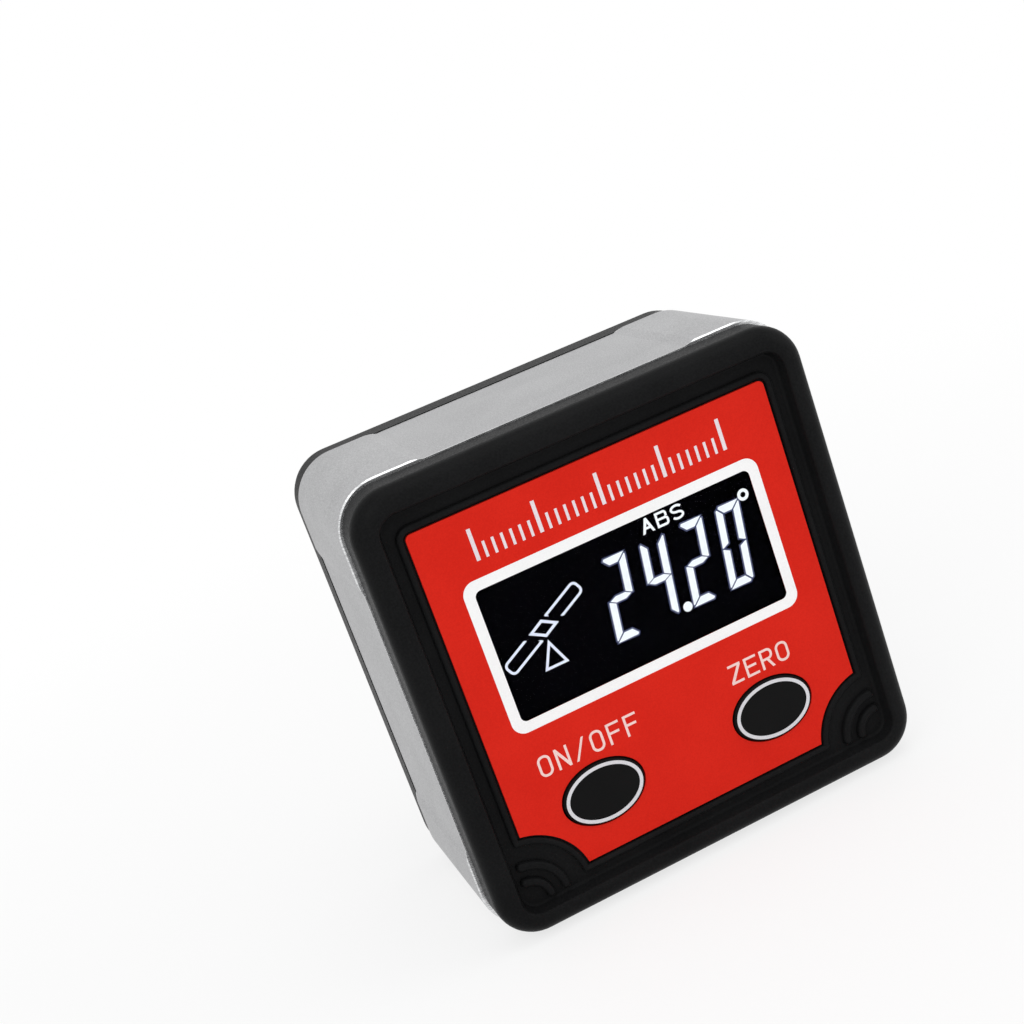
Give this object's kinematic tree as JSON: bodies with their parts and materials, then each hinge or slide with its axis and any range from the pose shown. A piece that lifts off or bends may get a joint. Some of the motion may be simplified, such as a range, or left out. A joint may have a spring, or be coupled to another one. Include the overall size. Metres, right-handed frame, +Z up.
{
  "type": "digital angle gauge",
  "caption": "Square digital angle gauge: aluminium ring frame with relieved faces and base magnets, black moulded front with a lit display and oval keys, and a rear battery door.",
  "frame": {"origin": "centre of the base, on the plane of its lands", "axes": "+Z up from the base, -Y out of the display, +X to the reader's right"},
  "size_m": [0.051, 0.0296, 0.051],
  "materials": {
    "anodised_aluminium": "bead-blasted and anodised, satin",
    "black_moulding": "fine moulded grain",
    "red_film": "satin printed film",
    "clear_lens": "clear polished",
    "dark_display": "dark display glass",
    "white_moulding": "smooth",
    "light_guide": "frosted",
    "elastomer": "banded",
    "circuit_board": "solder mask",
    "chip_package": "moulded",
    "key_rubber": "matt",
    "screw_steel": "plated",
    "cell_wrap": "shrunk sleeve",
    "contact_metal": "nickel-plated spring strip",
    "nickel_plate": "nickel-plated"
  },
  "bodies": {
    "box": {"frame": "anodised_aluminium", "front_bezel": "black_moulding", "front_label": "red_film", "display_lens": "clear_lens", "lcd_glass": "dark_display", "lcd_holder": "white_moulding", "light_guide": "light_guide", "backlight_leds": "white_moulding", "contact_strip": "elastomer", "main_board": "circuit_board", "tilt_sensor": "chip_package", "controller_chip": "chip_package", "on_off_switch": "chip_package", "zero_switch": "chip_package", "board_screws": "screw_steel", "rear_cover": "black_moulding", "battery_upper": "cell_wrap", "battery_lower": "cell_wrap", "positive_contact": "contact_metal", "negative_contact": "contact_metal", "bridge_contact": "contact_metal", "base_magnets": "nickel_plate", "cover_screws": "screw_steel"},
    "on_off_key": {"on_off_button": "key_rubber", "on_off_plunger": "white_moulding"},
    "zero_key": {"zero_button": "key_rubber", "zero_plunger": "white_moulding"},
    "door": {"battery_door": "black_moulding"}
  },
  "joints": [
    {"name": "on_off_press", "type": "slide", "parent": "box", "child": "on_off_key", "axis": [0, 1, 0], "range_m": [0, 0.0005], "stiffness_N_per_m": 2000},
    {"name": "zero_press", "type": "slide", "parent": "box", "child": "zero_key", "axis": [0, 1, 0], "range_m": [0, 0.0005], "stiffness_N_per_m": 2000},
    {"name": "door_slide", "type": "slide", "parent": "box", "child": "door", "axis": [1, 0, 0], "range_m": [0, 0.05]}
  ]
}
